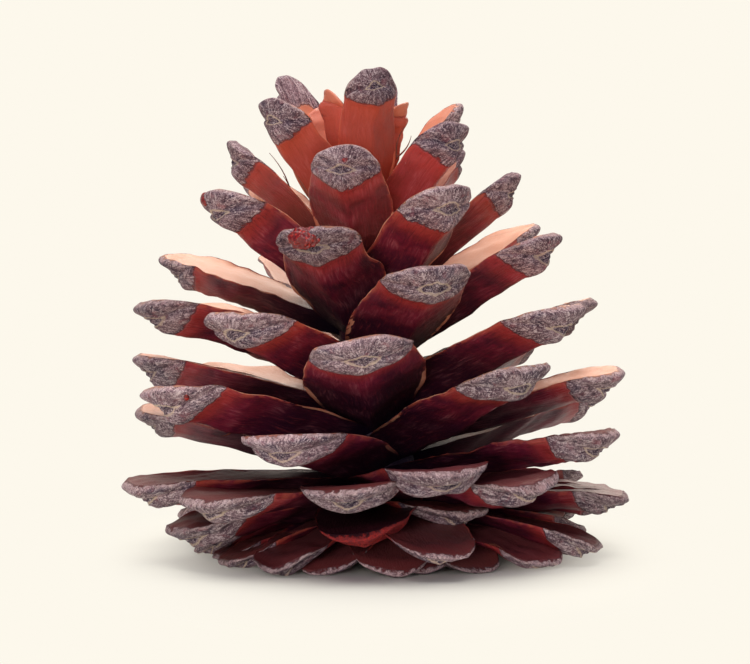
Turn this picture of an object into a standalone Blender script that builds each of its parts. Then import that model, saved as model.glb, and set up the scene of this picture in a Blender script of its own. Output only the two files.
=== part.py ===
"""An open pine cone: one woody body of a tapering axis and the scales that spiral round it."""

import math
import random

import bmesh
import bpy
import numpy as np
from mathutils import Matrix, Vector

MM = 0.001

# Driving sizes of the whole cone
AXIS_HEIGHT = 41.0 * MM
AXIS_BASE_RADIUS = 5.0 * MM
AXIS_TOP_RADIUS = 2.2 * MM
AXIS_SIDES = 14
AXIS_BELOW_GROUND = 1.5 * MM
LEAN_LEFT = math.radians(3.8)
LEAN_BACK = math.radians(4.5)
TOP_BEND = 0.4 * MM
BEND_START = 20.0 * MM
BEND_SPAN = 30.0 * MM

# Spiral of the scales, counted from the tip of the cone down
SCALE_COUNT = 90
DIVERGENCE = math.radians(-137.14)
FIRST_AZIMUTH = math.radians(204.5)
ROOT_DEPTH = 1.0 * MM
SEED = 19

# At each of these scales: reach of its tip from the axis, height of the tip, elevation, width,
# and depth of its outer face
TIERS = (
    (0, 5.0 * MM, 51.5 * MM, 76.0, 4.4 * MM, 1.6 * MM),
    (4, 9.8 * MM, 54.6 * MM, 66.0, 6.3 * MM, 2.8 * MM),
    (7, 12.7 * MM, 51.3 * MM, 54.0, 6.9 * MM, 3.2 * MM),
    (15, 19.0 * MM, 42.2 * MM, 37.0, 8.4 * MM, 3.6 * MM),
    (23, 24.7 * MM, 33.4 * MM, 25.0, 10.2 * MM, 3.6 * MM),
    (33, 27.9 * MM, 23.9 * MM, 19.0, 11.7 * MM, 3.6 * MM),
    (41, 29.1 * MM, 15.8 * MM, 12.5, 11.6 * MM, 3.5 * MM),
    (47, 28.9 * MM, 9.7 * MM, 5.0, 11.4 * MM, 3.3 * MM),
    (55, 28.2 * MM, 6.3 * MM, -2.0, 11.2 * MM, 3.0 * MM),
    (65, 26.2 * MM, 2.4 * MM, -9.0, 10.0 * MM, 2.2 * MM),
    (75, 22.5 * MM, 1.2 * MM, -12.0, 8.6 * MM, 2.0 * MM),
    (89, 18.5 * MM, 0.6 * MM, -14.0, 7.2 * MM, 1.8 * MM),
)

# Scales that grew or dried out of line: turn round the axis and lift in degrees, and share of extra length
LEANING = {
    0: (11, -3, 0.02),
    1: (-1, 0, -0.09),
    2: (4, 15.5, -0.06),
    3: (5, 1, 0.07),
    4: (-2, 0, -0.02),
    5: (-3, 7.5, 0.04),
    6: (2, -2.5, -0.08),
    7: (-4, 0.5, 0.05),
    9: (0, -1.5, -0.02),
    10: (0, 5, -0.06),
    12: (-2, 2, 0.02),
    14: (0, -0.5, -0.05),
    15: (-1, -0.5, 0.01),
    17: (-3, 1.5, 0),
    18: (1, -7, 0),
    19: (1, -2, -0.01),
    20: (5, 2.5, 0.01),
    22: (-2, 3, 0),
    23: (-2, -5.5, 0.02),
    25: (3, 1.5, 0.01),
    27: (1, -3.5, -0.03),
    28: (1, 0.5, 0),
    30: (6, 0.5, 0.04),
    31: (0, -0.5, -0.05),
    33: (-2, 3, 0.01),
    35: (0, -3.5, -0.03),
    36: (-3, -0.5, 0.02),
    38: (5, 4, 0.03),
    39: (-3, 3, -0.03),
    41: (-2, -1, 0),
    43: (-3, -1, -0.03),
    44: (1, -4, -0.01),
    48: (2, -8, -0.04),
    49: (-6, -1, 0.02),
    51: (-11, 1, -0.04),
    52: (0, -2, -0.2),
    53: (-5, 0.5, 0.02),
    54: (-5, 5, 0),
    56: (0, -1, 0.02),
    57: (-1, -1, 0),
    60: (0, 2.5, -0.15),
    62: (13, 0, 0),
    64: (1, -6, 0.03),
    65: (0, 2, -0.17),
    67: (-1, -1, 0),
    69: (3, -0.5, -0.04),
    70: (6, 0, -0.06),
    72: (6, 0, 0),
    73: (0, 0, -0.1),
    75: (5, 0, -0.06),
}

# Scales that twisted as they dried, in degrees
TWISTED = {18: -9.0}

# No two scales grow quite alike: the most that each one strays from the rule
TURN_SPREAD = 1.5
LIFT_SPREAD = 1.0
ROLL_SPREAD = 5.0
LENGTH_SPREAD = 0.02
WIDTH_SPREAD = 0.04

# Scales whose outer end broke off, and the share of the length that is left
BROKEN = {59: 0.62, 62: 0.84}

# From this scale down, each scale droops until its end meets the ground
FIRST_RESTING = 70
REST_SINK = 0.25 * MM

# Form of one scale: shares of its width along the blade, and shares of the depth of its outer face
SECTIONS = (0.0, 0.3, 0.6)
BODY_SWELL = 1.16
ROOT_WIDTH = 0.54
SWELL_END = 0.5
ROOT_RISE = 0.8 * MM
KEEL_AT_ROOT = 0.7
KEEL_AT_FACE = 1.0
KEEL_HOLLOW = 0.42
CUP_DEPTH = 0.35 * MM
RECURVE = math.radians(5.0)
FACE_SET_BACK = 1.3
FLANK_DROP = 0.68
UMBO_SET_BACK = 0.45
UMBO_DROP = 0.75

# Each ring has seven points from side to side above, and three below
RING_POINTS = 10
UPPER_TURNS = np.linspace(math.pi, 0.0, 7)

SETTLE_STEPS = 6
CUTTER_SIZE = 100.0 * MM
SHARP_ANGLE = math.radians(35.0)

WOOD_COLOUR = (0.115, 0.034, 0.022, 1.0)
WOOD_ROUGHNESS = 0.55


def clear_scene():
    for obj in list(bpy.data.objects):
        bpy.data.objects.remove(obj, do_unlink=True)


def new_collection(name):
    collection = bpy.data.collections.new(name)
    bpy.context.scene.collection.children.link(collection)
    return collection


def new_object(name, mesh_source, collection):
    mesh = bpy.data.meshes.new(name)
    mesh_source.to_mesh(mesh)
    mesh_source.free()
    obj = bpy.data.objects.new(name, mesh)
    collection.objects.link(obj)
    return obj


def wood_material():
    material = bpy.data.materials.new("cone_wood")
    material.use_nodes = True
    shader = material.node_tree.nodes["Principled BSDF"]
    shader.inputs["Base Color"].default_value = WOOD_COLOUR
    shader.inputs["Roughness"].default_value = WOOD_ROUGHNESS
    shader.inputs["Metallic"].default_value = 0.0
    return material


def lean_matrix():
    """The axis leans a little to the left and away from the front."""
    return Matrix.Rotation(-LEAN_LEFT, 4, "Y") @ Matrix.Rotation(-LEAN_BACK, 4, "X")


def scale_plan(number):
    """Place and size of one scale, counted from the tip down."""
    draw = random.Random(SEED + number)
    known, *columns = np.array(TIERS).T
    reach, height, elevation, width, depth = (np.interp(number, known, column) for column in columns)
    turn, lift, stretch = LEANING.get(number, (0, 0, 0))
    turn += draw.uniform(-TURN_SPREAD, TURN_SPREAD)
    length = (reach - ROOT_DEPTH) / math.cos(math.radians(elevation))
    root_height = height - length * math.sin(math.radians(elevation))
    elevation += lift + draw.uniform(-LIFT_SPREAD, LIFT_SPREAD)
    return {
        "azimuth": FIRST_AZIMUTH + number * DIVERGENCE + math.radians(turn),
        "elevation": math.radians(elevation),
        "length": length * (1.0 + stretch) * (1.0 + draw.uniform(-LENGTH_SPREAD, LENGTH_SPREAD)),
        "width": width * (1.0 + draw.uniform(-WIDTH_SPREAD, WIDTH_SPREAD)),
        "root_height": root_height,
        "roll": math.radians(TWISTED.get(number, 0.0) + draw.uniform(-ROLL_SPREAD, ROLL_SPREAD)),
        "depth": depth,
        "kept": BROKEN.get(number, 1.0),
    }


def scale_matrix(plan):
    """Local X runs from root to end, local Z to the side that faces the tip of the cone."""
    bend = TOP_BEND * (max(plan["root_height"] - BEND_START, 0.0) / BEND_SPAN) ** 2
    place = Matrix.Translation((-bend, 0.0, plan["root_height"]))
    heading = Matrix.Rotation(plan["azimuth"] - math.pi / 2, 4, "Z")
    climb = Matrix.Rotation(-plan["elevation"], 4, "Y")
    roll = Matrix.Rotation(plan["roll"], 4, "X")
    out = Matrix.Translation((ROOT_DEPTH, 0.0, 0.0))
    return lean_matrix() @ place @ heading @ out @ climb @ roll


def recurved(point, length):
    """Bends the scale outwards along its length."""
    share = point.x / length
    return Vector((point.x, point.y, point.z - RECURVE * length * share * (share - 1.0)))


def body_ring(share, plan):
    """Cross-section of the blade: a cupped upper side, sharp side edges and a keel below."""
    swell = math.sin(min(share / SWELL_END, 1.0) * math.pi / 2)
    half = plan["width"] / 2 * (ROOT_WIDTH + (BODY_SWELL - ROOT_WIDTH) * swell)
    keel = plan["depth"] * (KEEL_AT_ROOT + (KEEL_AT_FACE - KEEL_AT_ROOT) * swell)
    top = ROOT_RISE * (1.0 - swell)
    cup = CUP_DEPTH * swell
    upper = [(math.cos(turn) * half, top - cup * math.sin(turn)) for turn in UPPER_TURNS]
    lower = [(half / 2, -KEEL_HOLLOW * keel), (0.0, -keel), (-half / 2, -KEEL_HOLLOW * keel)]
    return [Vector((share * plan["length"], side, rise)) for side, rise in upper + lower]


def face_ring(plan):
    """Outline of the outer face: a half round rim above and a V below."""
    half = plan["width"] / 2
    centre = plan["length"] - half
    depth = plan["depth"]
    back = plan["length"] - FACE_SET_BACK * depth
    flank = (centre + back) / 2
    upper = [(centre + half * math.sin(turn), half * math.cos(turn), 0.0) for turn in UPPER_TURNS]
    lower = [
        (flank, half / 2, -FLANK_DROP * depth),
        (back, 0.0, -depth),
        (flank, -half / 2, -FLANK_DROP * depth),
    ]
    return [Vector(point) for point in upper + lower]


def scale_rings(plan):
    """Point at the root, rings along the blade, outline of the face, and point of the umbo."""
    length, depth = plan["length"], plan["depth"]
    root = [Vector((0.0, 0.0, -depth * KEEL_AT_ROOT / 2))] * RING_POINTS
    blade = [body_ring(share, plan) for share in SECTIONS]
    if plan["kept"] < 1.0:
        end = plan["kept"] * length
        stump = [Vector((end, 0.0, -depth * KEEL_AT_FACE / 2))] * RING_POINTS
        return [root] + blade + [body_ring(plan["kept"], plan), stump]
    umbo = [Vector((length - UMBO_SET_BACK * depth, 0.0, -UMBO_DROP * depth))] * RING_POINTS
    return [root] + blade + [face_ring(plan), umbo]


def scale_mesh(plan):
    """A sphere's rings, from pole to pole, moved onto the rings of one scale."""
    rings = scale_rings(plan)
    steps = len(rings) - 1
    mesh = bmesh.new()
    bmesh.ops.create_uvsphere(mesh, u_segments=RING_POINTS, v_segments=steps, radius=1.0)
    for vertex in mesh.verts:
        x, y, z = vertex.co
        ring = round(math.acos(max(-1.0, min(1.0, -z))) / math.pi * steps)
        spoke = round(math.atan2(y, x) / math.tau * RING_POINTS) % RING_POINTS
        vertex.co = recurved(rings[ring][spoke], plan["length"])
    bmesh.ops.recalc_face_normals(mesh, faces=mesh.faces)
    return mesh


def settle(plan):
    """Lowers or lifts one of the lowest scales until its end just meets the ground."""
    for _ in range(SETTLE_STEPS):
        mesh = scale_mesh(plan)
        bmesh.ops.transform(mesh, matrix=scale_matrix(plan), verts=mesh.verts)
        lowest = min(vertex.co.z for vertex in mesh.verts)
        mesh.free()
        plan["elevation"] -= (lowest + REST_SINK) / plan["length"]


def add_scales(collection):
    for number in range(SCALE_COUNT):
        plan = scale_plan(number)
        if number >= FIRST_RESTING:
            settle(plan)
        mesh = scale_mesh(plan)
        bmesh.ops.transform(mesh, matrix=scale_matrix(plan), verts=mesh.verts)
        new_object(f"scale_{number:02d}", mesh, collection)


def add_axis(name, collection):
    """The woody axis, which ends below in the scar of the stalk."""
    mesh = bmesh.new()
    depth = AXIS_HEIGHT + AXIS_BELOW_GROUND
    bmesh.ops.create_cone(
        mesh,
        cap_ends=True,
        segments=AXIS_SIDES,
        radius1=AXIS_BASE_RADIUS,
        radius2=AXIS_TOP_RADIUS,
        depth=depth,
        matrix=Matrix.Translation((0.0, 0.0, depth / 2 - AXIS_BELOW_GROUND)),
    )
    bmesh.ops.transform(mesh, matrix=lean_matrix(), verts=mesh.verts)
    return new_object(name, mesh, collection)


def add_ground_cutter(collection):
    """Everything below the ground plane, which the cone stands on."""
    mesh = bmesh.new()
    bmesh.ops.create_cube(mesh, size=CUTTER_SIZE, matrix=Matrix.Translation((0.0, 0.0, -CUTTER_SIZE / 2)))
    cutter = new_object("ground_cutter", mesh, collection)
    cutter.hide_render = True
    cutter.display_type = "WIRE"
    return cutter


def apply_boolean(obj, operation, operand):
    """Adds one Boolean to the object, which takes its result as its mesh."""
    modifier = obj.modifiers.new(operation.lower(), "BOOLEAN")
    modifier.operation = operation
    if isinstance(operand, bpy.types.Collection):
        modifier.operand_type = "COLLECTION"
        modifier.collection = operand
    else:
        modifier.object = operand
    graph = bpy.context.evaluated_depsgraph_get()
    old = obj.data
    obj.data = bpy.data.meshes.new_from_object(obj.evaluated_get(graph))
    obj.modifiers.clear()
    bpy.data.meshes.remove(old)


def shells_of(mesh):
    """Groups of faces that hang together over plain edges, largest last."""
    mesh.faces.ensure_lookup_table()
    seen = set()
    shells = []
    for first in mesh.faces:
        if first.index in seen:
            continue
        seen.add(first.index)
        shell = [first]
        for face in shell:
            inner = [edge for edge in face.edges if len(edge.link_faces) == 2]
            near = [other for edge in inner for other in edge.link_faces if other.index not in seen]
            seen.update(other.index for other in near)
            shell.extend(dict.fromkeys(near))
        shells.append(shell)
    return sorted(shells, key=len)


def keep_one_body(obj):
    """Fills hollows that the joined scales closed off, and drops loose scraps."""
    mesh = bmesh.new()
    mesh.from_mesh(obj.data)
    bmesh.ops.triangulate(mesh, faces=mesh.faces, quad_method="FIXED", ngon_method="EAR_CLIP")
    for shell in shells_of(mesh)[:-1]:
        bmesh.ops.delete(mesh, geom=shell, context="FACES")
    mesh.to_mesh(obj.data)
    mesh.free()


def main():
    clear_scene()
    cone_parts = new_collection("pine_cone")
    joined = new_collection("scales_to_join")
    cutters = new_collection("cutters")
    cone = add_axis("pine_cone", cone_parts)
    add_scales(joined)
    apply_boolean(cone, "UNION", joined)
    apply_boolean(cone, "DIFFERENCE", add_ground_cutter(cutters))
    for obj in list(joined.objects):
        bpy.data.objects.remove(obj, do_unlink=True)
    keep_one_body(cone)
    cone.data.materials.clear()
    cone.data.materials.append(wood_material())
    cone.data.shade_smooth()
    cone.data.set_sharp_from_angle(angle=SHARP_ANGLE)


main()
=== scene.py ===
# An open pine cone standing on a pale studio floor.
# Every scale follows the same spiral as the solid model, with the grain, bark and wear of the real one.

import math
import random

import bmesh
import bpy
import numpy as np
from mathutils import Matrix, Vector


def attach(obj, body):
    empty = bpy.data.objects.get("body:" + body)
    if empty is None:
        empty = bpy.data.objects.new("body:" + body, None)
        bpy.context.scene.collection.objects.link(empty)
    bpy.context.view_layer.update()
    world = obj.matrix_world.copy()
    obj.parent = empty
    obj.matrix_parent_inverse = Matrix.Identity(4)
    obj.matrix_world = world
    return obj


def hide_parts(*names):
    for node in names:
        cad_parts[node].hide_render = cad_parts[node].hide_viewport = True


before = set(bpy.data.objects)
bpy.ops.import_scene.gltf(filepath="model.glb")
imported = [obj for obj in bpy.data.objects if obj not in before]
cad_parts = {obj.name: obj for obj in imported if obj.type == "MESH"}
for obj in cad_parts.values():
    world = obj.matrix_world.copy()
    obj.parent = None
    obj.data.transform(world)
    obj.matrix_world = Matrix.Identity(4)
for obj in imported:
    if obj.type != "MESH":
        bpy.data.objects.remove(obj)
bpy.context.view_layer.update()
mm = 0.001
print("frame loaded")

# Growth of the cone: the spiral is counted from the tip down, sizes in mm and degrees
coneGrowth = {
    "scales": 90,
    "divergence": -137.14,
    "firstAzimuth": 204.5,
    "rootDepth": 1.0,
    "seed": 19,
    "leanLeft": 3.8,
    "leanBack": 4.5,
    "topBend": (0.4, 20.0, 30.0),       # how far, from what height, over what span
    "spread": (1.5, 1.0, 5.0, 0.02, 0.04),  # turn, lift, roll, length, width
    "firstResting": 70,
    "restSink": 0.25,
    "broken": {59: 0.62, 62: 0.84},
    "torn": (62,),                      # the broken scale whose end shows, red and crusted
    "twisted": {18: -9.0},              # degrees
    "bare": (0, 1, 2),                  # thin scales round the tip, which grew no bark
    # how light a listed scale is drawn, 0 to 1: painted shade for scales that lie in the shade of others,
    # painted light for scales lifted out of shade
    "paintedShadeTones": {28: 0.8, 33: 0.8, 36: 1.0, 44: 0.7, 46: 0.2, 49: 0.3, 54: 0.3},
    # between these two scales the painted orange glow of the thin tip scales fades into red, the painted
    # light on the upper faces turns from peach to brown, and the scale ends from a V to a half moon
    "tipGlowEnds": (3, 16),
    "litUpperFaceEnds": (36, 46),
    "moonEnds": (33, 47),
    "wrapped": {3: 3.0, 5: 3.4, 9: 1.5, 10: 2.6, 11: 1.5, 14: 1.2},  # mm of bark over the inner side
}

# number, reach of the tip, height of the tip, elevation, width, depth of the end face
tiers = (
    (0, 5.0, 51.5, 76.0, 4.4, 1.6),
    (4, 9.8, 54.6, 66.0, 6.3, 2.8),
    (7, 12.7, 51.3, 54.0, 6.9, 3.2),
    (15, 19.0, 42.2, 37.0, 8.4, 3.6),
    (23, 24.7, 33.4, 25.0, 10.2, 3.6),
    (33, 27.9, 23.9, 19.0, 11.7, 3.6),
    (41, 29.1, 15.8, 12.5, 11.6, 3.5),
    (47, 28.9, 9.7, 5.0, 11.4, 3.3),
    (55, 28.2, 6.3, -2.0, 11.2, 3.0),
    (65, 26.2, 2.4, -9.0, 10.0, 2.2),
    (75, 22.5, 1.2, -12.0, 8.6, 2.0),
    (89, 18.5, 0.6, -14.0, 7.2, 1.8),
)

# scales that dried out of line: turn round the axis, lift in degrees, share of extra length
leaning = {
    0: (11, -3, 0.02), 1: (-1, 0, -0.09), 2: (4, 15.5, -0.06), 3: (5, 1, 0.07), 4: (-2, 0, -0.02),
    5: (-3, 7.5, 0.04), 6: (2, -2.5, -0.08), 7: (-4, 0.5, 0.05), 9: (0, -1.5, -0.02), 10: (0, 5, -0.06),
    12: (-2, 2, 0.02), 14: (0, -0.5, -0.05), 15: (-1, -0.5, 0.01), 17: (-3, 1.5, 0), 18: (1, -7, 0),
    19: (1, -2, -0.01), 20: (5, 2.5, 0.01), 22: (-2, 3, 0), 23: (-2, -5.5, 0.02), 25: (3, 1.5, 0.01),
    27: (1, -3.5, -0.03), 28: (1, 0.5, 0), 30: (6, 0.5, 0.04), 31: (0, -0.5, -0.05), 33: (-2, 3, 0.01),
    35: (0, -3.5, -0.03), 36: (-3, -0.5, 0.02), 38: (5, 4, 0.03), 39: (-3, 3, -0.03), 41: (-2, -1, 0),
    43: (-3, -1, -0.03), 44: (1, -4, -0.01), 48: (2, -8, -0.04), 49: (-6, -1, 0.02), 51: (-11, 1, -0.04),
    52: (0, -2, -0.2), 53: (-5, 0.5, 0.02), 54: (-5, 5, 0), 56: (0, -1, 0.02), 57: (-1, -1, 0),
    60: (0, 2.5, -0.15), 62: (13, 0, 0), 64: (1, -6, 0.03), 65: (0, 2, -0.17), 67: (-1, -1, 0),
    69: (3, -0.5, -0.04), 70: (6, 0, -0.06), 72: (6, 0, 0), 73: (0, 0, -0.1), 75: (5, 0, -0.06),
}

# One scale: shares of its width and of its face depth unless mm is said
scaleForm = {
    "around": 72,
    "bladeRings": 28,
    "faceRings": 20,
    "rootWidth": 0.54,
    "swell": 1.16,
    "swellEnd": 0.5,
    "rootRise": 0.8,          # mm
    "keelAtRoot": 0.7,
    "keelAtFace": 1.0,
    "cup": 0.35,              # mm
    "recurve": math.radians(5.0),
    "setBack": 1.3,
    "umboBack": 0.45,
    "umboDrop": 0.75,
    "faceBulge": 0.21,
    "noseBulge": 0.12,
    "rimDrop": 0.42,          # mm, the rim rolls over a little
    "lip": 0.16,              # mm, the bark stands proud of the blade
    "edge": 0.28,             # mm, thickness of the side edges
    "wobble": 0.07,           # unevenness of the rim
    "rimSquare": 2.4,         # 2 would be a round rim, more is squarer
    "veePower": 0.6,
    "veeBlunt": 0.96,         # where the V is cut off
    "moonPower": (2.2, 0.62),
    "facetPower": 1.25,       # how straight the flanks run from the edges to the keel
    "umboSize": (1.75, 0.8),  # mm, half width and half height
    "umboPower": 1.3,         # 1 would be a diamond, 2 an oval
    "umboLip": 0.16,          # mm
    "umboHollow": 0.12,       # mm
    "umboPoint": (0.2, 0.3),  # mm, height and width
    "umboFull": 10.0,         # mm, a narrower scale has a smaller umbo
    "ridge": 0.22,            # mm, the line from corner to corner
    "ridgeWidth": 0.35,       # mm
    "slowSwells": (7.0, 0.22),    # mm, span and height of the unevenness
    "quickSwells": (2.4, 0.09),
    "floorGap": 0.02,         # mm, how far the lowest points stay above the floor
}


def between(number, column):
    return float(np.interp(number, [tier[0] for tier in tiers], [tier[column] for tier in tiers]))


def smooth(value, low, high):
    share = np.clip((value - low) / (high - low), 0.0, 1.0)
    return share * share * (3.0 - 2.0 * share)


def stack(*columns):
    return np.stack(np.broadcast_arrays(*columns), axis=-1).astype(float)


def planScale(number):
    draw = random.Random(coneGrowth["seed"] + number)
    turnSpread, liftSpread, rollSpread, lengthSpread, widthSpread = coneGrowth["spread"]
    reach, height, elevation, width, depth = (between(number, column) for column in range(1, 6))
    turn, lift, stretch = leaning.get(number, (0, 0, 0))
    turn += draw.uniform(-turnSpread, turnSpread)
    length = (reach - coneGrowth["rootDepth"]) / math.cos(math.radians(elevation))
    rootHeight = height - length * math.sin(math.radians(elevation))
    elevation += lift + draw.uniform(-liftSpread, liftSpread)
    plan = {
        "number": number,
        "azimuth": math.radians(coneGrowth["firstAzimuth"] + number * coneGrowth["divergence"] + turn),
        "elevation": math.radians(elevation),
        "length": length * (1.0 + stretch) * (1.0 + draw.uniform(-lengthSpread, lengthSpread)),
        "width": width * (1.0 + draw.uniform(-widthSpread, widthSpread)),
        "rootHeight": rootHeight,
        "roll": math.radians(coneGrowth["twisted"].get(number, 0.0) + draw.uniform(-rollSpread, rollSpread)),
        "depth": depth,
        "moon": float(smooth(number, *coneGrowth["moonEnds"])),
    }
    kept = coneGrowth["broken"].get(number, 1.0)
    plan["length"] *= kept
    plan["waves"] = [(draw.uniform(-1, 1), draw.uniform(0, math.tau)) for _ in range(4)]
    tone, hue = draw.random(), draw.random()
    # painted glow: full on the thin scales round the tip, as if light shone through them
    tipGlow = 1.0 - float(smooth(number, *coneGrowth["tipGlowEnds"]))
    # a listed scale takes its painted shade and light in place of a random tone
    plan["tint"] = (coneGrowth["paintedShadeTones"].get(number, tone), hue, tipGlow)
    torn = 1.0 if number in coneGrowth["torn"] else 0.0
    # painted light: 1 for the upper scales, whose upper faces are drawn peach as if lit from above, 0 for the
    # lower ones, drawn brown as if in the cone's shade
    fresh = 1.0 - float(smooth(number, *coneGrowth["litUpperFaceEnds"]))
    plan["mark"] = (torn, fresh, draw.random())
    return plan


def leanOfCone():
    lean = Matrix.Rotation(-math.radians(coneGrowth["leanLeft"]), 4, "Y")
    return lean @ Matrix.Rotation(-math.radians(coneGrowth["leanBack"]), 4, "X")


def placed(plan, points):
    # from the scale's own place, in mm, to the cone standing on the floor
    bendBy, bendFrom, bendSpan = coneGrowth["topBend"]
    bend = bendBy * (max(plan["rootHeight"] - bendFrom, 0.0) / bendSpan) ** 2
    place = Matrix.Translation((-bend, 0.0, plan["rootHeight"]))
    heading = Matrix.Rotation(plan["azimuth"] - math.pi / 2, 4, "Z")
    out = Matrix.Translation((coneGrowth["rootDepth"], 0.0, 0.0))
    climb = Matrix.Rotation(-plan["elevation"], 4, "Y")
    roll = Matrix.Rotation(plan["roll"], 4, "X")
    whole = np.array(leanOfCone() @ place @ heading @ out @ climb @ roll)
    return points @ whole[:3, :3].T + whole[:3, 3]


def uneven(points, seed, size, height):
    # slow swells of a surface, the same each time for one seed
    draw = random.Random(seed)
    push = np.zeros_like(points)
    for _ in range(7):
        along = np.array([draw.gauss(0.0, 1.0) for _ in range(3)])
        along *= math.tau / size / np.linalg.norm(along) * draw.uniform(0.6, 1.4)
        way = np.array([draw.gauss(0.0, 1.0) for _ in range(3)])
        push += np.outer(np.sin(points @ along + draw.uniform(0.0, math.tau)), way)
    return push * height / 4


def borderOf(plan, turn):
    # the line where the grey end meets the brown blade: a rounded rim above, a V or half moon below
    half, depth = plan["width"] / 2, plan["depth"]
    centre = plan["length"] - half
    side, rise = np.cos(turn), np.sin(turn)
    sway = sum(size * np.cos((order + 2) * turn + start) for order, (size, start) in enumerate(plan["waves"]))
    power = scaleForm["rimSquare"]
    squarer = 1.0 / (np.abs(side) ** power + np.abs(rise) ** power) ** (1 / power)
    rimX = centre + half * rise * squarer * (1.0 + scaleForm["wobble"] * sway * 0.5)
    away = np.abs(side)
    vee = np.minimum((1.0 - away) ** scaleForm["veePower"], scaleForm["veeBlunt"])
    inner, outer = scaleForm["moonPower"]
    moon = (1.0 - away ** inner) ** outer
    drop = (vee + (moon - vee) * plan["moon"]) * (1.0 + scaleForm["wobble"] * 0.7 * sway * rise)
    back = plan["length"] - depth * scaleForm["setBack"]
    above = rise >= 0
    x = np.where(above, rimX, centre + (back - centre) * (1.0 - away))
    z = np.where(above, -scaleForm["rimDrop"] * np.maximum(rise, 0.0), -depth * drop)
    return stack(x, half * side, z)


def bladeOf(plan, along, turn, border):
    length, depth = plan["length"], plan["depth"]
    x = border[:, 0] * along
    swell = np.sin(np.minimum(x / length / scaleForm["swellEnd"], 1.0) * math.pi / 2)
    rootWidth, keelAtRoot = scaleForm["rootWidth"], scaleForm["keelAtRoot"]
    half = plan["width"] / 2 * (rootWidth + (scaleForm["swell"] - rootWidth) * swell)
    half = half + (plan["width"] / 2 - half) * smooth(along, 0.66, 1.0)
    side, rise = np.cos(turn), np.sin(turn)
    top = scaleForm["rootRise"] * (1.0 - swell)
    cup = scaleForm["cup"] * swell * (1.0 - smooth(along, 0.8, 1.0))
    upper = top - cup * rise - scaleForm["rimDrop"] * rise * smooth(along, 0.88, 1.0)
    keel = depth * (keelAtRoot + (scaleForm["keelAtFace"] - keelAtRoot) * swell)
    away = np.abs(side)
    facet = (1.0 - away) ** scaleForm["facetPower"]
    nearFace = smooth(along, 0.5, 1.0)
    drop = -border[:, 2] / depth
    lip = scaleForm["lip"] * smooth(along, 0.995, 0.97) * smooth(away, 1.0, 0.9)
    edge = scaleForm["edge"] * (1.0 - away ** 6) * (1.0 - nearFace) * (1.0 - facet)
    lower = top - keel * (facet + (drop - facet) * nearFace) - edge + lip
    return stack(x, side * half, np.where(rise >= 0, upper, lower))


def scaleSurface(plan, ring, turn):
    # places in mm, and what the materials read there
    bladeRings, faceRings = scaleForm["bladeRings"], scaleForm["faceRings"]
    depth = plan["depth"]
    border = borderOf(plan, turn)
    umbo = np.array([plan["length"] - depth * scaleForm["umboBack"], 0.0, -depth * scaleForm["umboDrop"]])
    towardRim = np.array([scaleForm["umboBack"], 0.0, scaleForm["umboDrop"]])
    towardRim /= np.linalg.norm(towardRim)
    outward = np.array([towardRim[2], 0.0, -towardRim[0]])
    along = 1.0 - (1.0 - np.minimum(ring / bladeRings, 1.0)) ** 1.3
    inward = np.clip((ring - bladeRings) / faceRings, 0.0, 1.0) ** 0.9
    onFace = ring > bladeRings
    face = border + (umbo - border) * inward[:, None]
    nose = np.exp(1.0 - inward / 0.1) * inward / 0.1 * smooth(np.sin(turn), 0.0, 0.4)
    bulge = scaleForm["faceBulge"] * 6.75 * inward * (1.0 - inward) ** 2 + scaleForm["noseBulge"] * nose
    face = face + outward * (depth * bulge)[:, None]
    flat = np.where(onFace[:, None], face, border) - umbo
    across, up = flat[:, 1], flat @ towardRim
    away = np.maximum(np.hypot(across, up), 0.001)
    size = min(1.0, plan["width"] / scaleForm["umboFull"])
    wide, high = scaleForm["umboSize"]
    power = scaleForm["umboPower"]
    lens = (np.abs(across) / (wide * size)) ** power + (np.abs(up) / (high * size)) ** power
    lift = scaleForm["umboLip"] * np.exp(-((lens - 1.0) / 0.3) ** 2)
    lift = lift - scaleForm["umboHollow"] * np.maximum(0.0, 1.0 - lens)
    pointHeight, pointWidth = scaleForm["umboPoint"]
    lift += pointHeight * np.exp(-(away / pointWidth) ** 2)
    crease = np.exp(-(up / scaleForm["ridgeWidth"]) ** 2)
    crease *= smooth(lens, 1.0, 2.5) * smooth(inward, 0.0, 0.25)
    lift += scaleForm["ridge"] * crease
    face = face + outward * (lift * size)[:, None]
    points = np.where(onFace[:, None], face, bladeOf(plan, along, turn, border))
    faceShare = inward * np.linalg.norm(border - umbo, axis=1)
    fromBorder = np.where(onFace, faceShare, -(1.0 - along) * border[:, 0])
    number = plan["number"]
    upper = 0.5 + 0.5 * np.clip(np.sin(turn) * 6.0, -1.0, 1.0)
    fromBorder = fromBorder + coneGrowth["wrapped"].get(number, 0.0) * upper * ~onFace
    if number in coneGrowth["bare"]:
        fromBorder = -0.15 - np.abs(fromBorder)
    reads = {
        "zone": stack(fromBorder, np.abs(np.cos(turn)), upper),
        "faceAt": stack(across / size, up / size, number * 3.7),
        "fan": stack(across / away * 3.4, up / away * 3.4 + number * 11.0, away * 0.42),
        "grain": stack(points[:, 0], points[:, 1] + number * 23.0, points[:, 2]),
        "tint": stack(*(np.full(len(ring), value) for value in plan["tint"])),
        "mark": stack(*(np.full(len(ring), value) for value in plan["mark"])),
    }
    share = points[:, 0] / plan["length"]
    rough = uneven(points, number, *scaleForm["slowSwells"])
    rough += uneven(points, number + 500, *scaleForm["quickSwells"])
    points = points + rough * smooth(share, 0.05, 0.4)[:, None]
    points[:, 2] -= scaleForm["recurve"] * plan["length"] * share * (share - 1.0)
    return points, reads


def settle(plan, ring, turn):
    # the lowest scales turn up or down until their ends just meet the ground
    for _ in range(5):
        lowest = placed(plan, scaleSurface(plan, ring, turn)[0])[:, 2].min()
        plan["elevation"] -= (lowest + coneGrowth["restSink"]) / plan["length"]


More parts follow.
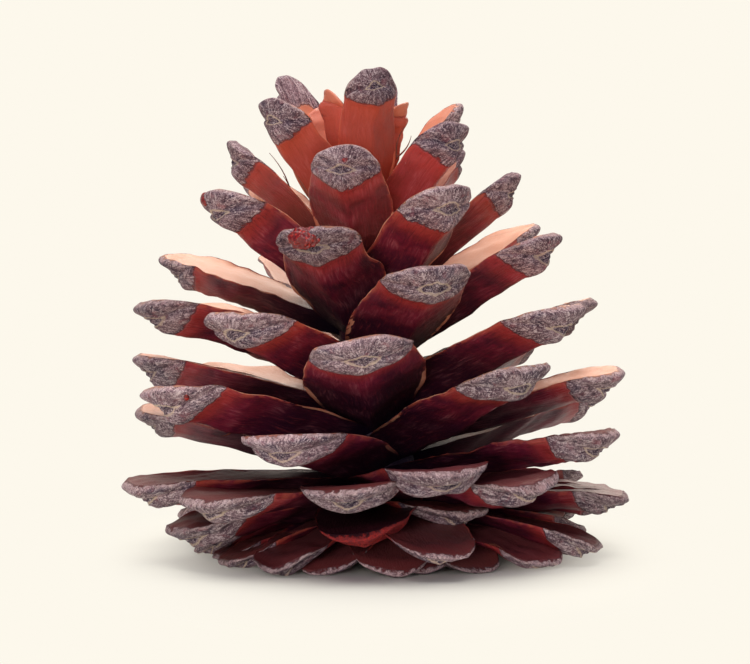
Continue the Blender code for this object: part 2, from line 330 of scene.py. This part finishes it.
def growScales(name, numbers):
    # each scale starts as a sphere whose rings run from the root, over the blade and the face, to the umbo
    around, rings = scaleForm["around"], scaleForm["bladeRings"] + scaleForm["faceRings"]
    ball = bmesh.new()
    bmesh.ops.create_uvsphere(ball, u_segments=around, v_segments=rings, radius=1.0)
    spots = np.array([vertex.co for vertex in ball.verts])
    template = bpy.data.meshes.new("scaleTemplate")
    ball.to_mesh(template)
    ball.free()
    ring = np.round(np.arccos(np.clip(-spots[:, 2], -1.0, 1.0)) / math.pi * rings)
    turn = np.round(np.arctan2(spots[:, 1], spots[:, 0]) / math.tau * around) % around * math.tau / around
    mesh = bmesh.new()
    grown = []
    for number in numbers:
        plan = planScale(number)
        points, reads = scaleSurface(plan, ring, turn)
        buried = placed(plan, points)[:, 2].min() < -coneGrowth["restSink"]
        if number >= coneGrowth["firstResting"] or buried:
            settle(plan, ring, turn)
            points, reads = scaleSurface(plan, ring, turn)
        points = placed(plan, points)
        points[:, 2] = np.maximum(points[:, 2], scaleForm["floorGap"])
        grown.append((points, reads))
        mesh.from_mesh(template)
    bpy.data.meshes.remove(template)
    piece = finishPiece(name, mesh)
    piece.data.vertices.foreach_set("co", np.concatenate([points for points, _ in grown]).ravel() * mm)
    for key in grown[0][1]:
        layer = piece.data.attributes.new(key, "FLOAT_VECTOR", "POINT")
        layer.data.foreach_set("vector", np.concatenate([reads[key] for _, reads in grown]).ravel())
    piece.data.update()
    return piece


def finishPiece(name, mesh):
    data = bpy.data.meshes.new(name)
    mesh.to_mesh(data)
    mesh.free()
    data.shade_smooth()
    piece = bpy.data.objects.new(name, data)
    bpy.context.scene.collection.objects.link(piece)
    return piece


def wearCone(piece, material):
    piece.data.materials.append(material)
    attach(piece, "root")
    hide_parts("pine_cone")


def linear(hexColour):
    values = [int(hexColour[index:index + 2], 16) / 255 for index in (1, 3, 5)]
    values = [value / 12.92 if value <= 0.04045 else ((value + 0.055) / 1.055) ** 2.4 for value in values]
    return (*values, 1.0)


def addNode(material, name, kind, settings=None, links=None):
    # one node with its settings: a link is a value, a colour, or an earlier node as "name" or "name.output"
    nodes = material.node_tree.nodes
    node = nodes.new("ShaderNode" + kind)
    node.name = name
    for key, value in (settings or {}).items():
        setattr(node, key, value)
    for socket, value in (links or {}).items():
        if isinstance(value, str) and value.startswith("#"):
            node.inputs[socket].default_value = linear(value)
        elif isinstance(value, str):
            source, _, output = value.partition(".")
            outputs = nodes[source].outputs
            given = outputs[output] if output else next(item for item in outputs if item.enabled)
            material.node_tree.links.new(given, node.inputs[socket])
        else:
            node.inputs[socket].default_value = value
    return node


# Weathered scale end of a pine cone: dead outer bark, matt and grey, finely wrinkled outwards from the umbo.
# It gives the eye a silvery grey scribbled with dark lines, a thin pale rim along the top, which is a painted
# highlight, and a raised point in the middle.
# The same material goes on into the dry red-brown wood of the blade, which is satin, with lengthwise fibres,
# and painted shade darkens it towards the root and the axis.
scaleFinish = {
    "roughness": (0.42, 0.82),      # wood, bark
    "bumpHeight": 0.35,             # mm
    "fanShare": 0.42,               # of the wrinkles, the rest is scribble
    # patterns: what they follow, how many to a mm, detail, roughness, warp
    "patterns": {
        "wander": ("grain", 1.1, 3.0, 0.6, 0.0),        # where bark gives way to wood
        "fanned": ("fan", 2.7, 4.0, 0.62, 1.2),         # wrinkles 0.37 mm apart
        "scribble": ("grain", 2.9, 4.0, 0.68, 2.2),     # fine lines 0.35 mm apart
        "patches": ("grain", 0.42, 3.0, 0.6, 0.0),      # weathered patches 2.4 mm across
        "damp": ("grain", 0.36, 3.0, 0.6, 0.3),
        "stain": ("grain", 0.9, 2.0, 0.5, 0.4),
        "mottle": ("grain", 0.3, 4.0, 0.58, 0.0),       # darker and redder wood, 3 mm across
        "fibres": ("lengthwise", 4.4, 4.0, 0.7, 0.3),   # 0.25 mm apart, ten times as long
        "threads": ("lengthwise", 8.0, 2.0, 0.6, 0.2),
        "scuffs": ("grain", 0.3, 2.0, 0.5, 0.0),
        "flecks": ("speckled", 2.4, 5.0, 0.85, 0.0),
    },
    # masks: what they read, where they begin, where they are full
    "masks": {
        "onBark": ("border", -0.03, 0.07),
        "offBark": ("border", 0.07, -0.03),
        "lineInside": ("border", -0.2, -0.04),
        "lineOutside": ("border", 0.1, 0.0),
        "paleBark": ("patches", 0.38, 0.62),
        "dampBark": ("damp", 0.5, 0.64),
        "paleLines": ("wrinkles", 0.51, 0.575),
        "darkLines": ("wrinkles", 0.485, 0.425),
        "stained": ("stain", 0.56, 0.74),
        "nearRim": ("border", 0.5, 0.12),
        "litUpperRim": ("part.Z", 0.45, 0.8),
        "rimTexture": ("scribble", 0.38, 0.5),
        "lensOuter": ("lens", 1.3, 1.08),
        "lensInner": ("lens", 0.72, 0.92),
        "lensMiddle": ("lens", 0.95, 0.5),
        "lensTexture": ("scribble", 0.56, 0.44),
        "lineTexture": ("scribble", 0.3, 0.46),
        "redWood": ("mottle", 0.34, 0.6),
        # a warm band behind the bark, partly painted light
        "warmAndLitBand": ("border", -3.4, -0.3),
        # painted shade on the blade, darker towards the root
        "rootwardShade": ("border", -3.5, -10.0),
        "darkFibre": ("fibres", 0.47, 0.36),
        "brightFibre": ("fibres", 0.53, 0.68),
        "darkThread": ("threads", 0.46, 0.34),
        "scuffed": ("scuffs", 0.5, 0.64),
        "scuffFibre": ("fibres", 0.46, 0.6),
        "upperFace": ("part.Z", 0.55, 0.95),
        # painted light on the upper faces of the upper scales
        "fresh": ("broken.Y", 0.1, 0.9),
        "outOfShade": ("along.X", 4.0, 10.0),
        # painted shade, full near the axis where the scales crowd
        "nearAxisShade": ("along.X", 10.0, 2.0),
        "glowingSideEdge": ("part.Y", 0.93, 1.0),
        "edgeTexture": ("stain", 0.38, 0.56),
        "fleck": ("flecks", 0.665, 0.71),
        "crustTexture": ("scribble", 0.42, 0.62),
        "shieldIn": ("border", -2.15, -1.95),
        "shieldOut": ("border", -1.65, -1.85),
    },
    # layers of the bark and of the wood, each over the ones before: strength, masks, colour
    "barkBase": "#735860",
    "bark": (
        (1.0, ("paleBark",), "#967c82"),
        (0.55, ("dampBark",), "#484056"),
        (0.75, ("paleLines",), "#e2d2d0"),
        (0.82, ("darkLines",), "#281b28"),
        (0.45, ("stained",), "#93525a"),
        # painted highlight along the upper rim of the bark
        (0.5, ("nearRim", "litUpperRim", "rimTexture"), "#d8bcb4"),
        (0.85, ("lensMiddle", "lensTexture"), "#2a2238"),
        (0.75, ("lensOuter", "lensInner", "lineTexture"), "#d2bca4"),
        (0.9, ("broken.X",), "#7a1512"),
        (0.9, ("broken.X", "crustTexture"), "#c8402a"),
    ),
    "woodBase": "#441026",
    "wood": (
        (1.0, ("redWood",), "#741e34"),
        # painted shade: the blade darkens towards the root inside the cone
        (0.85, ("rootwardShade",), "#240b20"),
        # a warm red band behind the bark, partly the wood's own colour and partly painted light near the lit
        # scale end
        (0.7, ("warmAndLitBand",), "#a83834"),
        (0.4, ("darkFibre",), "#340a1e"),
        (0.3, ("brightFibre",), "#a8484c"),
        (0.2, ("darkThread",), "#2a0a1a"),
        (0.12, ("scuffed", "scuffFibre"), "#d09aa2"),
        # upper faces of the blades away from the axis: brown, partly their own colour and partly painted
        # shade, then peach on the upper scales, painted light as if lit from above
        (0.85, ("upperFace", "outOfShade"), "#6a3836"),
        (0.9, ("upperFace", "outOfShade", "fresh"), "#dfa484"),
        (0.9, ("broken.X", "upperFace"), "#220a14"),
        # painted glow along the thin side edges, as if light shone through them
        (0.5, ("glowingSideEdge", "edgeTexture"), "#b4523c"),
        (0.12, ("shieldIn", "shieldOut"), "#3c121c"),
        # painted glow of light through the thin tip scales, orange
        (0.5, ("tone.Z",), "#e06448"),
        # painted shade, dark navy near the axis
        (0.92, ("nearAxisShade",), "#140a22"),
        (0.45, ("fleck",), "#d8b0a8"),
    ),
    "borderLine": (0.5, "#40181f"),
    "borderSway": 0.9,              # mm, how far the bark's border wanders
    "lensSize": (1.75, 0.72),       # mm, half width and half height of the drawn umbo
    "lensPower": 1.3,
    "lensSway": 1.2,
    "toneValue": (0.8, 0.4),        # the darkest scale, and how much lighter the lightest is
    "toneHue": (0.494, 0.012),
    "fibreHeights": (0.35, 0.5),    # shares of the relief: fibres, mottle
    "lineDepth": -0.25,
    "bumpStrength": 0.9,
    "specular": 0.3,
}


def bodyMaterial():
    look = scaleFinish
    material = bpy.data.materials.new("dryPineWoodAndBark")
    material.use_nodes = True
    material.node_tree.nodes.clear()
    for name in ("zone", "faceAt", "fan", "grain", "tint", "mark"):
        addNode(material, name, "Attribute", {"attribute_name": name})
    # broken.Y carries the painted light on the upper faces, tone.X a scale's tone with its painted shade,
    # tone.Z the painted glow of the tip scales
    parts = {"part": "zone", "face": "faceAt", "along": "grain", "tone": "tint", "broken": "mark"}
    for name, source in parts.items():
        addNode(material, name, "SeparateXYZ", None, {0: source + ".Vector"})
    for name, squeeze in {"lengthwise": 0.1, "speckled": 0.3}.items():
        addNode(material, name, "VectorMath", {"operation": "MULTIPLY"},
                {0: "grain.Vector", 1: (squeeze, 1.0, 1.0)})
    for name, (follows, scale, detail, roughness, warp) in look["patterns"].items():
        vector = follows + ".Vector"
        addNode(material, name, "TexNoise", None, {"Vector": vector, "Scale": scale, "Detail": detail,
                                                   "Roughness": roughness, "Distortion": warp})

    # sums: the border wanders, the wrinkles join two patterns, and the umbo is a small lens
    lensWide, lensHigh = look["lensSize"]
    darkest, lighter = look["toneValue"]
    firstHue, hueSpan = look["toneHue"]
    sums = (
        ("scribbleShare", "MULTIPLY", "scribble", 1.0 - look["fanShare"], 0.0),
        ("flatAcross", "ABSOLUTE", "face.X", 0.0, 0.0),
        ("flatUp", "ABSOLUTE", "face.Y", 0.0, 0.0),
        ("lensWide", "DIVIDE", "flatAcross", lensWide, 0.0),
        ("lensHigh", "DIVIDE", "flatUp", lensHigh, 0.0),
        ("sway", "MULTIPLY_ADD", "wander", look["borderSway"], -look["borderSway"] / 2),
        ("border", "ADD", "part.X", "sway", 0.0),
        ("wrinkles", "MULTIPLY_ADD", "fanned", look["fanShare"], "scribbleShare"),
        ("lensAcross", "POWER", "lensWide", look["lensPower"], 0.0),
        ("lensUp", "POWER", "lensHigh", look["lensPower"], 0.0),
        ("lensPlain", "ADD", "lensAcross", "lensUp", 0.0),
        ("lens", "MULTIPLY_ADD", "sway", look["lensSway"], "lensPlain"),
        ("tintValue", "MULTIPLY_ADD", "tone.X", lighter, darkest),
        ("tintHue", "MULTIPLY_ADD", "tone.Y", hueSpan, firstHue),
    )
    for name, operation, *inputs in sums:
        addNode(material, name, "Math", {"operation": operation}, dict(enumerate(inputs)))
    for name, (source, begins, full) in look["masks"].items():
        addNode(material, name, "MapRange", {"interpolation_type": "SMOOTHSTEP"},
                {0: source, 1: begins, 2: full})

    top = {}
    for kind in ("bark", "wood"):
        under = look[kind + "Base"]
        for layer, (strength, masks, colour) in enumerate(look[kind]):
            share = strength
            for order, mask in enumerate(masks):
                name = f"{kind}{layer}share{order}"
                addNode(material, name, "Math", {"operation": "MULTIPLY"}, {0: share, 1: mask})
                share = name
            name = f"{kind}{layer}"
            addNode(material, name, "Mix", {"data_type": "RGBA"}, {0: share, 6: under, 7: colour})
            under = name
        top[kind] = under
    addNode(material, "surface", "Mix", {"data_type": "RGBA"},
            {0: "onBark", 6: top["wood"], 7: top["bark"]})
    lineStrength, lineColour = look["borderLine"]
    addNode(material, "lineShape", "Math", {"operation": "MULTIPLY"}, {0: "lineInside", 1: "lineOutside"})
    addNode(material, "lineShare", "Math", {"operation": "MULTIPLY"}, {0: "lineShape", 1: lineStrength})
    addNode(material, "outlined", "Mix", {"data_type": "RGBA"}, {0: "lineShare", 6: "surface", 7: lineColour})
    addNode(material, "toned", "HueSaturation", None,
            {"Hue": "tintHue", "Value": "tintValue", "Color": "outlined"})

    fibreShare, mottleShare = look["fibreHeights"]
    smoothest, roughest = look["roughness"]
    heights = (
        ("mottleHeight", "MULTIPLY", "mottle", mottleShare, 0.0),
        ("barkHeight", "MULTIPLY", "wrinkles", "onBark", 0.0),
        ("fibreHeight", "MULTIPLY_ADD", "fibres", fibreShare, "mottleHeight"),
        ("woodHeight", "MULTIPLY", "fibreHeight", "offBark", 0.0),
        ("joined", "ADD", "barkHeight", "woodHeight", 0.0),
        ("height", "MULTIPLY_ADD", "lineShape", look["lineDepth"], "joined"),
        ("roughness", "MULTIPLY_ADD", "onBark", roughest - smoothest, smoothest),
    )
    for name, operation, *inputs in heights:
        addNode(material, name, "Math", {"operation": operation}, dict(enumerate(inputs)))
    addNode(material, "relief", "Bump", None,
            {"Strength": look["bumpStrength"], "Distance": look["bumpHeight"] * mm, "Height": "height"})
    addNode(material, "shader", "BsdfPrincipled", None,
            {"Base Color": "toned", "Roughness": "roughness", "Normal": "relief",
             "Specular IOR Level": look["specular"]})
    addNode(material, "output", "OutputMaterial", None, {"Surface": "shader"})
    return material


# The axis: the same dry wood, rough where the scales leave it, cut or broken off at the stalk
axisForm = {
    "height": 41.0,
    "baseRadius": 5.0,
    "topRadius": 2.2,
    "around": 48,
    "rings": 40,
    "swells": (5.0, 0.4),      # mm, span and height of the unevenness
    "tone": 0.4,               # how light its wood is, 0 to 1
    "seed": 7,
}


def growAxis():
    form = axisForm
    mesh = bmesh.new()
    bmesh.ops.create_cone(mesh, cap_ends=True, cap_tris=False, segments=form["around"],
                          radius1=form["baseRadius"], radius2=form["topRadius"], depth=form["height"],
                          matrix=Matrix.Translation((0.0, 0.0, form["height"] / 2)))
    upright = [edge for edge in mesh.edges if abs(edge.verts[0].co.z - edge.verts[1].co.z) > 1.0]
    bmesh.ops.subdivide_edges(mesh, edges=upright, cuts=form["rings"], use_grid_fill=True)
    piece = finishPiece("coneAxis", mesh)
    points = np.empty(len(piece.data.vertices) * 3)
    piece.data.vertices.foreach_get("co", points)
    points = points.reshape(-1, 3)
    low = points[:, 2] < 0.01
    reads = {
        "zone": stack(-8.0 + points[:, 0] * 0.0, 0.3, 0.0),
        "faceAt": stack(8.0 + points[:, 0] * 0.0, 8.0, 0.0),
        "fan": points * 0.5,
        "grain": stack(points[:, 2] * 0.2 + 1.0, points[:, 0] * 2.0, points[:, 1] * 2.0),
        "tint": stack(form["tone"] + points[:, 0] * 0.0, 0.5, 0.0),
        "mark": points * 0.0,
    }
    points += uneven(points, form["seed"], *form["swells"]) * ~low[:, None]
    lean = np.array(leanOfCone().to_3x3())
    points = points @ lean.T
    points[low, 2] = 0.0
    piece.data.vertices.foreach_set("co", points.ravel() * mm)
    for key, values in reads.items():
        layer = piece.data.attributes.new(key, "FLOAT_VECTOR", "POINT")
        layer.data.foreach_set("vector", values.ravel())
    piece.data.update()
    return piece


woodAndBark = bodyMaterial()
groups = {
    "tipScales": range(0, 23),
    "shoulderScales": range(23, 46),
    "waistScales": range(46, 68),
    "footScales": range(68, coneGrowth["scales"]),
}
for groupName, numbers in groups.items():
    wearCone(growScales(groupName, numbers), woodAndBark)
    print("grown", groupName)
wearCone(growAxis(), woodAndBark)
print("axis grown")

# Dried resin: drops that oozed out on the scale ends, glassy inside and crusted outside.
# They give the eye dark red beads with small bright points, rough like sugar.
resinForm = {
    # number of the scale, place from its umbo (across, up, out), half sizes, lumps of the skin, all in mm
    "drops": (
        (20, (-0.5, 1.5, 0.605), (1.75, 1.15, 0.6), 0.2),
        (15, (-1.1, 1.9, 0.605), (0.7, 0.8, 0.5), 0.06),
        (36, (3.7, 0.9, -1.3), (0.45, 0.5, 0.3), 0.1),
        (12, (0.5, 1.0, 0.58), (0.3, 0.4, 0.06), 0.06),
    ),
    "skin": "#640608",
    "crust": "#b42a1e",
    "grain": 3.2,           # crumbs to a mm, 0.3 mm apart
    "crumbs": (0.5, 0.68),  # where the crust begins, where it is full
    "crumbHeight": 0.12,    # mm
    "lumpSpan": 0.9,        # mm
    "roughness": 0.28,
    "index": 1.54,
}


def resinMaterial():
    look = resinForm
    material = bpy.data.materials.new("driedPineResin")
    material.use_nodes = True
    material.node_tree.nodes.clear()
    addNode(material, "place", "TexCoord")
    addNode(material, "crumbs", "TexNoise", None,
            {"Vector": "place.Object", "Scale": look["grain"] / mm, "Detail": 3.0, "Roughness": 0.6})
    begins, full = look["crumbs"]
    addNode(material, "bright", "MapRange", {"interpolation_type": "SMOOTHSTEP"},
            {0: "crumbs", 1: begins, 2: full})
    addNode(material, "colour", "Mix", {"data_type": "RGBA"},
            {0: "bright", 6: look["skin"], 7: look["crust"]})
    addNode(material, "relief", "Bump", None,
            {"Strength": 0.8, "Distance": look["crumbHeight"] * mm, "Height": "crumbs"})
    addNode(material, "shader", "BsdfPrincipled", None,
            {"Base Color": "colour", "Roughness": look["roughness"], "IOR": look["index"],
             "Normal": "relief"})
    addNode(material, "output", "OutputMaterial", None, {"Surface": "shader"})
    return material


def dripResin():
    mesh = bmesh.new()
    for number, (across, up, out), halfSizes, rough in resinForm["drops"]:
        plan = planScale(number)
        depth = plan["depth"]
        towardRim = Vector((scaleForm["umboBack"], 0.0, scaleForm["umboDrop"])).normalized()
        outward = Vector((towardRim.z, 0.0, -towardRim.x))
        umboX = plan["length"] - depth * scaleForm["umboBack"]
        umbo = Vector((umboX, 0.0, -depth * scaleForm["umboDrop"]))
        spot = umbo + towardRim * up + outward * out
        spot.y += across
        made = bmesh.ops.create_icosphere(mesh, subdivisions=5, radius=1.0)["verts"]
        ball = np.array([vertex.co for vertex in made])
        swells = uneven(ball * halfSizes[0], number, resinForm["lumpSpan"], rough)
        lumps = ball * (1.0 + swells[:, :1] / halfSizes[0])
        for vertex, lump in zip(made, lumps):
            lump = lump * halfSizes
            local = spot + towardRim * lump[1] + outward * lump[2] + Vector((0.0, lump[0], 0.0))
            vertex.co = Vector(placed(plan, np.array([local]))[0]) * mm
    return finishPiece("resinDrops", mesh)


wearCone(dripResin(), resinMaterial())
print("resin dripped")

# Torn wood fibres: thin dry splinters that stand off the edges of some scales, dark brown and matt.
fibreForm = {
    # root and tip in the cone's frame (mm), bend (mm)
    "strands": (
        ((-10.1, 1.2, 38.4), (-12.8, 1.0, 45.6), -0.8),
        ((-10.3, 0.8, 39.2), (-11.2, 0.5, 43.0), -0.4),
        ((1.7, -0.1, 44.9), (2.8, -0.5, 48.9), 0.5),
        ((1.7, -0.3, 45.2), (3.3, -0.4, 47.6), -0.3),
        ((11.9, -14.0, 2.9), (13.6, -17.5, 2.4), 0.3),
        ((-16.5, -7.9, 15.0), (-18.0, -9.4, 14.4), 0.2),
    ),
    "thickness": 0.13,      # mm, half of it at the root
    "taper": 0.75,          # share lost by the tip
    "steps": 10,
    "around": 6,
    "dark": "#2c1016",
    "light": "#8e4a34",
    "streaks": 1.5,         # to a mm
    "relief": 0.03,         # mm
    "roughness": 0.7,
}


def fibreMaterial():
    look = fibreForm
    material = bpy.data.materials.new("tornWoodFibre")
    material.use_nodes = True
    material.node_tree.nodes.clear()
    addNode(material, "place", "TexCoord")
    addNode(material, "streaks", "TexNoise", None,
            {"Vector": "place.Object", "Scale": look["streaks"] / mm, "Detail": 3.0})
    addNode(material, "colour", "Mix", {"data_type": "RGBA"},
            {0: "streaks", 6: look["dark"], 7: look["light"]})
    addNode(material, "relief", "Bump", None,
            {"Strength": 0.4, "Distance": look["relief"] * mm, "Height": "streaks"})
    addNode(material, "shader", "BsdfPrincipled", None,
            {"Base Color": "colour", "Roughness": look["roughness"], "Normal": "relief"})
    addNode(material, "output", "OutputMaterial", None, {"Surface": "shader"})
    return material


def pullFibres():
    # each strand is a small ring at its root, extruded step by step along a bow and thinner towards the tip
    mesh = bmesh.new()
    steps = fibreForm["steps"]
    for root, tip, bend in fibreForm["strands"]:
        root = Vector(root)
        reach = Vector(tip) - root
        way = reach.normalized()
        aside = way.cross(Vector((0.0, 1.0, 0.2))).normalized()
        across = aside.cross(way)
        ring = bmesh.ops.create_circle(mesh, segments=fibreForm["around"], radius=1.0)["verts"]
        turned = [Vector(vertex.co) for vertex in ring]
        edges = list({edge for vertex in ring for edge in vertex.link_edges})
        for step in range(steps + 1):
            up = step / steps
            middle = root + reach * up + aside * (bend * 4.0 * up * (1.0 - up))
            thick = fibreForm["thickness"] * (1.0 - fibreForm["taper"] * up)
            for vertex, turn in zip(ring, turned):
                vertex.co = (middle + aside * (turn.x * thick) + across * (turn.y * thick)) * mm
            if step < steps:
                grown = bmesh.ops.extrude_edge_only(mesh, edges=edges)["geom"]
                edges = [item for item in grown if isinstance(item, bmesh.types.BMEdge)]
                edges = [edge for edge in edges if not set(edge.verts) & set(ring)]
                ring = [item for item in grown if isinstance(item, bmesh.types.BMVert)]
    bmesh.ops.recalc_face_normals(mesh, faces=mesh.faces)
    return finishPiece("tornFibres", mesh)


wearCone(pullFibres(), fibreMaterial())
print("fibres pulled")

# Studio: a pale sweep, soft light from above and from behind, and one from low in front (m)
studio = {
    "paperNear": "#e4eadc",
    "paperFar": "#fdf8ec",
    "glowFrom": 0.012,         # from the cone's axis, where the lit paper starts to fade into the glow
    "glowTo": 0.036,
    "glowDepth": 0.6,          # the fade is an oval, longer from front to back
    "sweepWidth": 3.0,
    "sweepFront": -1.2,
    "sweepBack": 0.9,
    "bend": 0.3,
    "bendSteps": 12,
    "wallHeight": 1.2,
    "worldColour": "#c6bff2",
    "worldStrength": 0.24,
}


def layStudio():
    mesh = bmesh.new()
    half = studio["sweepWidth"] / 2
    corners = [mesh.verts.new((side * half, studio["sweepFront"], 0.0)) for side in (-1, 1)]
    edge = mesh.edges.new(corners)
    steps = studio["bendSteps"]
    size = studio["bend"] * math.pi / 2 / steps
    turns = [math.pi / 2 * (step + 0.5) / steps for step in range(steps)]
    pulls = [(0.0, studio["sweepBack"] - studio["sweepFront"], 0.0)]
    pulls += [(0.0, math.cos(turn) * size, math.sin(turn) * size) for turn in turns]
    pulls.append((0.0, 0.0, studio["wallHeight"]))
    for offset in pulls:
        made = bmesh.ops.extrude_edge_only(mesh, edges=[edge])["geom"]
        fresh = [item for item in made if isinstance(item, bmesh.types.BMVert)]
        bmesh.ops.translate(mesh, vec=offset, verts=fresh)
        edges = [item for item in made if isinstance(item, bmesh.types.BMEdge)]
        edge = next(item for item in edges if set(item.verts) == set(fresh))
    bmesh.ops.recalc_face_normals(mesh, faces=mesh.faces)
    piece = finishPiece("paperSweep", mesh)
    # matt studio paper: it gives the eye an even cream with no shine, lit near the cone, glowing further off
    paper = bpy.data.materials.new("mattPaper")
    paper.use_nodes = True
    paper.node_tree.nodes.clear()
    addNode(paper, "place", "TexCoord")
    addNode(paper, "oval", "VectorMath", {"operation": "MULTIPLY"},
            {0: "place.Object", 1: (1.0, studio["glowDepth"], 1.0)})
    addNode(paper, "away", "VectorMath", {"operation": "LENGTH"}, {0: "oval"})
    addNode(paper, "far", "MapRange", {"interpolation_type": "SMOOTHSTEP"},
            {0: "away.Value", 1: studio["glowFrom"], 2: studio["glowTo"]})
    addNode(paper, "lit", "Mix", {"data_type": "RGBA"}, {0: "far", 6: studio["paperNear"], 7: "#000000"})
    addNode(paper, "shader", "BsdfPrincipled", None,
            {"Base Color": "lit", "Roughness": 0.9, "Specular IOR Level": 0.0,
             "Emission Color": studio["paperFar"], "Emission Strength": "far"})
    addNode(paper, "output", "OutputMaterial", None, {"Surface": "shader"})
    piece.data.materials.append(paper)


layStudio()

softLights = {
    # place, aim (mm), size (mm), power (W), colour
    "skyPanel": ((-60, -60, 700), (0, 0, 20), 700, 6.0, "#fff4f0"),
    "frontPanel": ((-200, -900, 130), (0, 0, 25), 420, 4.6, "#fff2f4"),
    "backPanel": ((160, 560, 420), (0, 0, 30), 400, 2.6, "#ffe9dc"),
}
for lightName, (place, aim, size, power, colour) in softLights.items():
    lamp = bpy.data.lights.new(lightName, "AREA")
    lamp.size = size * mm
    lamp.energy = power
    lamp.color = linear(colour)[:3]
    holder = bpy.data.objects.new(lightName, lamp)
    holder.location = Vector(place) * mm
    holder.rotation_euler = (Vector(aim) - Vector(place)).to_track_quat("-Z", "Y").to_euler()
    bpy.context.scene.collection.objects.link(holder)

room = bpy.data.worlds.new("softRoom")
room.use_nodes = True
room.node_tree.nodes["Background"].inputs["Color"].default_value = linear(studio["worldColour"])
room.node_tree.nodes["Background"].inputs["Strength"].default_value = studio["worldStrength"]
bpy.context.scene.world = room
bpy.context.scene.view_settings.view_transform = "Standard"
print("studio lit")

# The photo's own view: a long lens, a little above the floor
view = {"target": (-0.8, 0.0, 25.3), "distance": 430.0, "elevation": 4.5, "lens": 181.6}
rise = math.radians(view["elevation"])
target = Vector(view["target"])
cameraData = bpy.data.cameras.new("photoCamera")
cameraData.lens = view["lens"]
cameraData.clip_start = 0.01
camera = bpy.data.objects.new("photoCamera", cameraData)
camera.location = (target + Vector((0.0, -math.cos(rise), math.sin(rise))) * view["distance"]) * mm
camera.rotation_euler = (math.pi / 2 - rise, 0.0, 0.0)
bpy.context.scene.collection.objects.link(camera)
bpy.context.scene.camera = camera

print("ready")
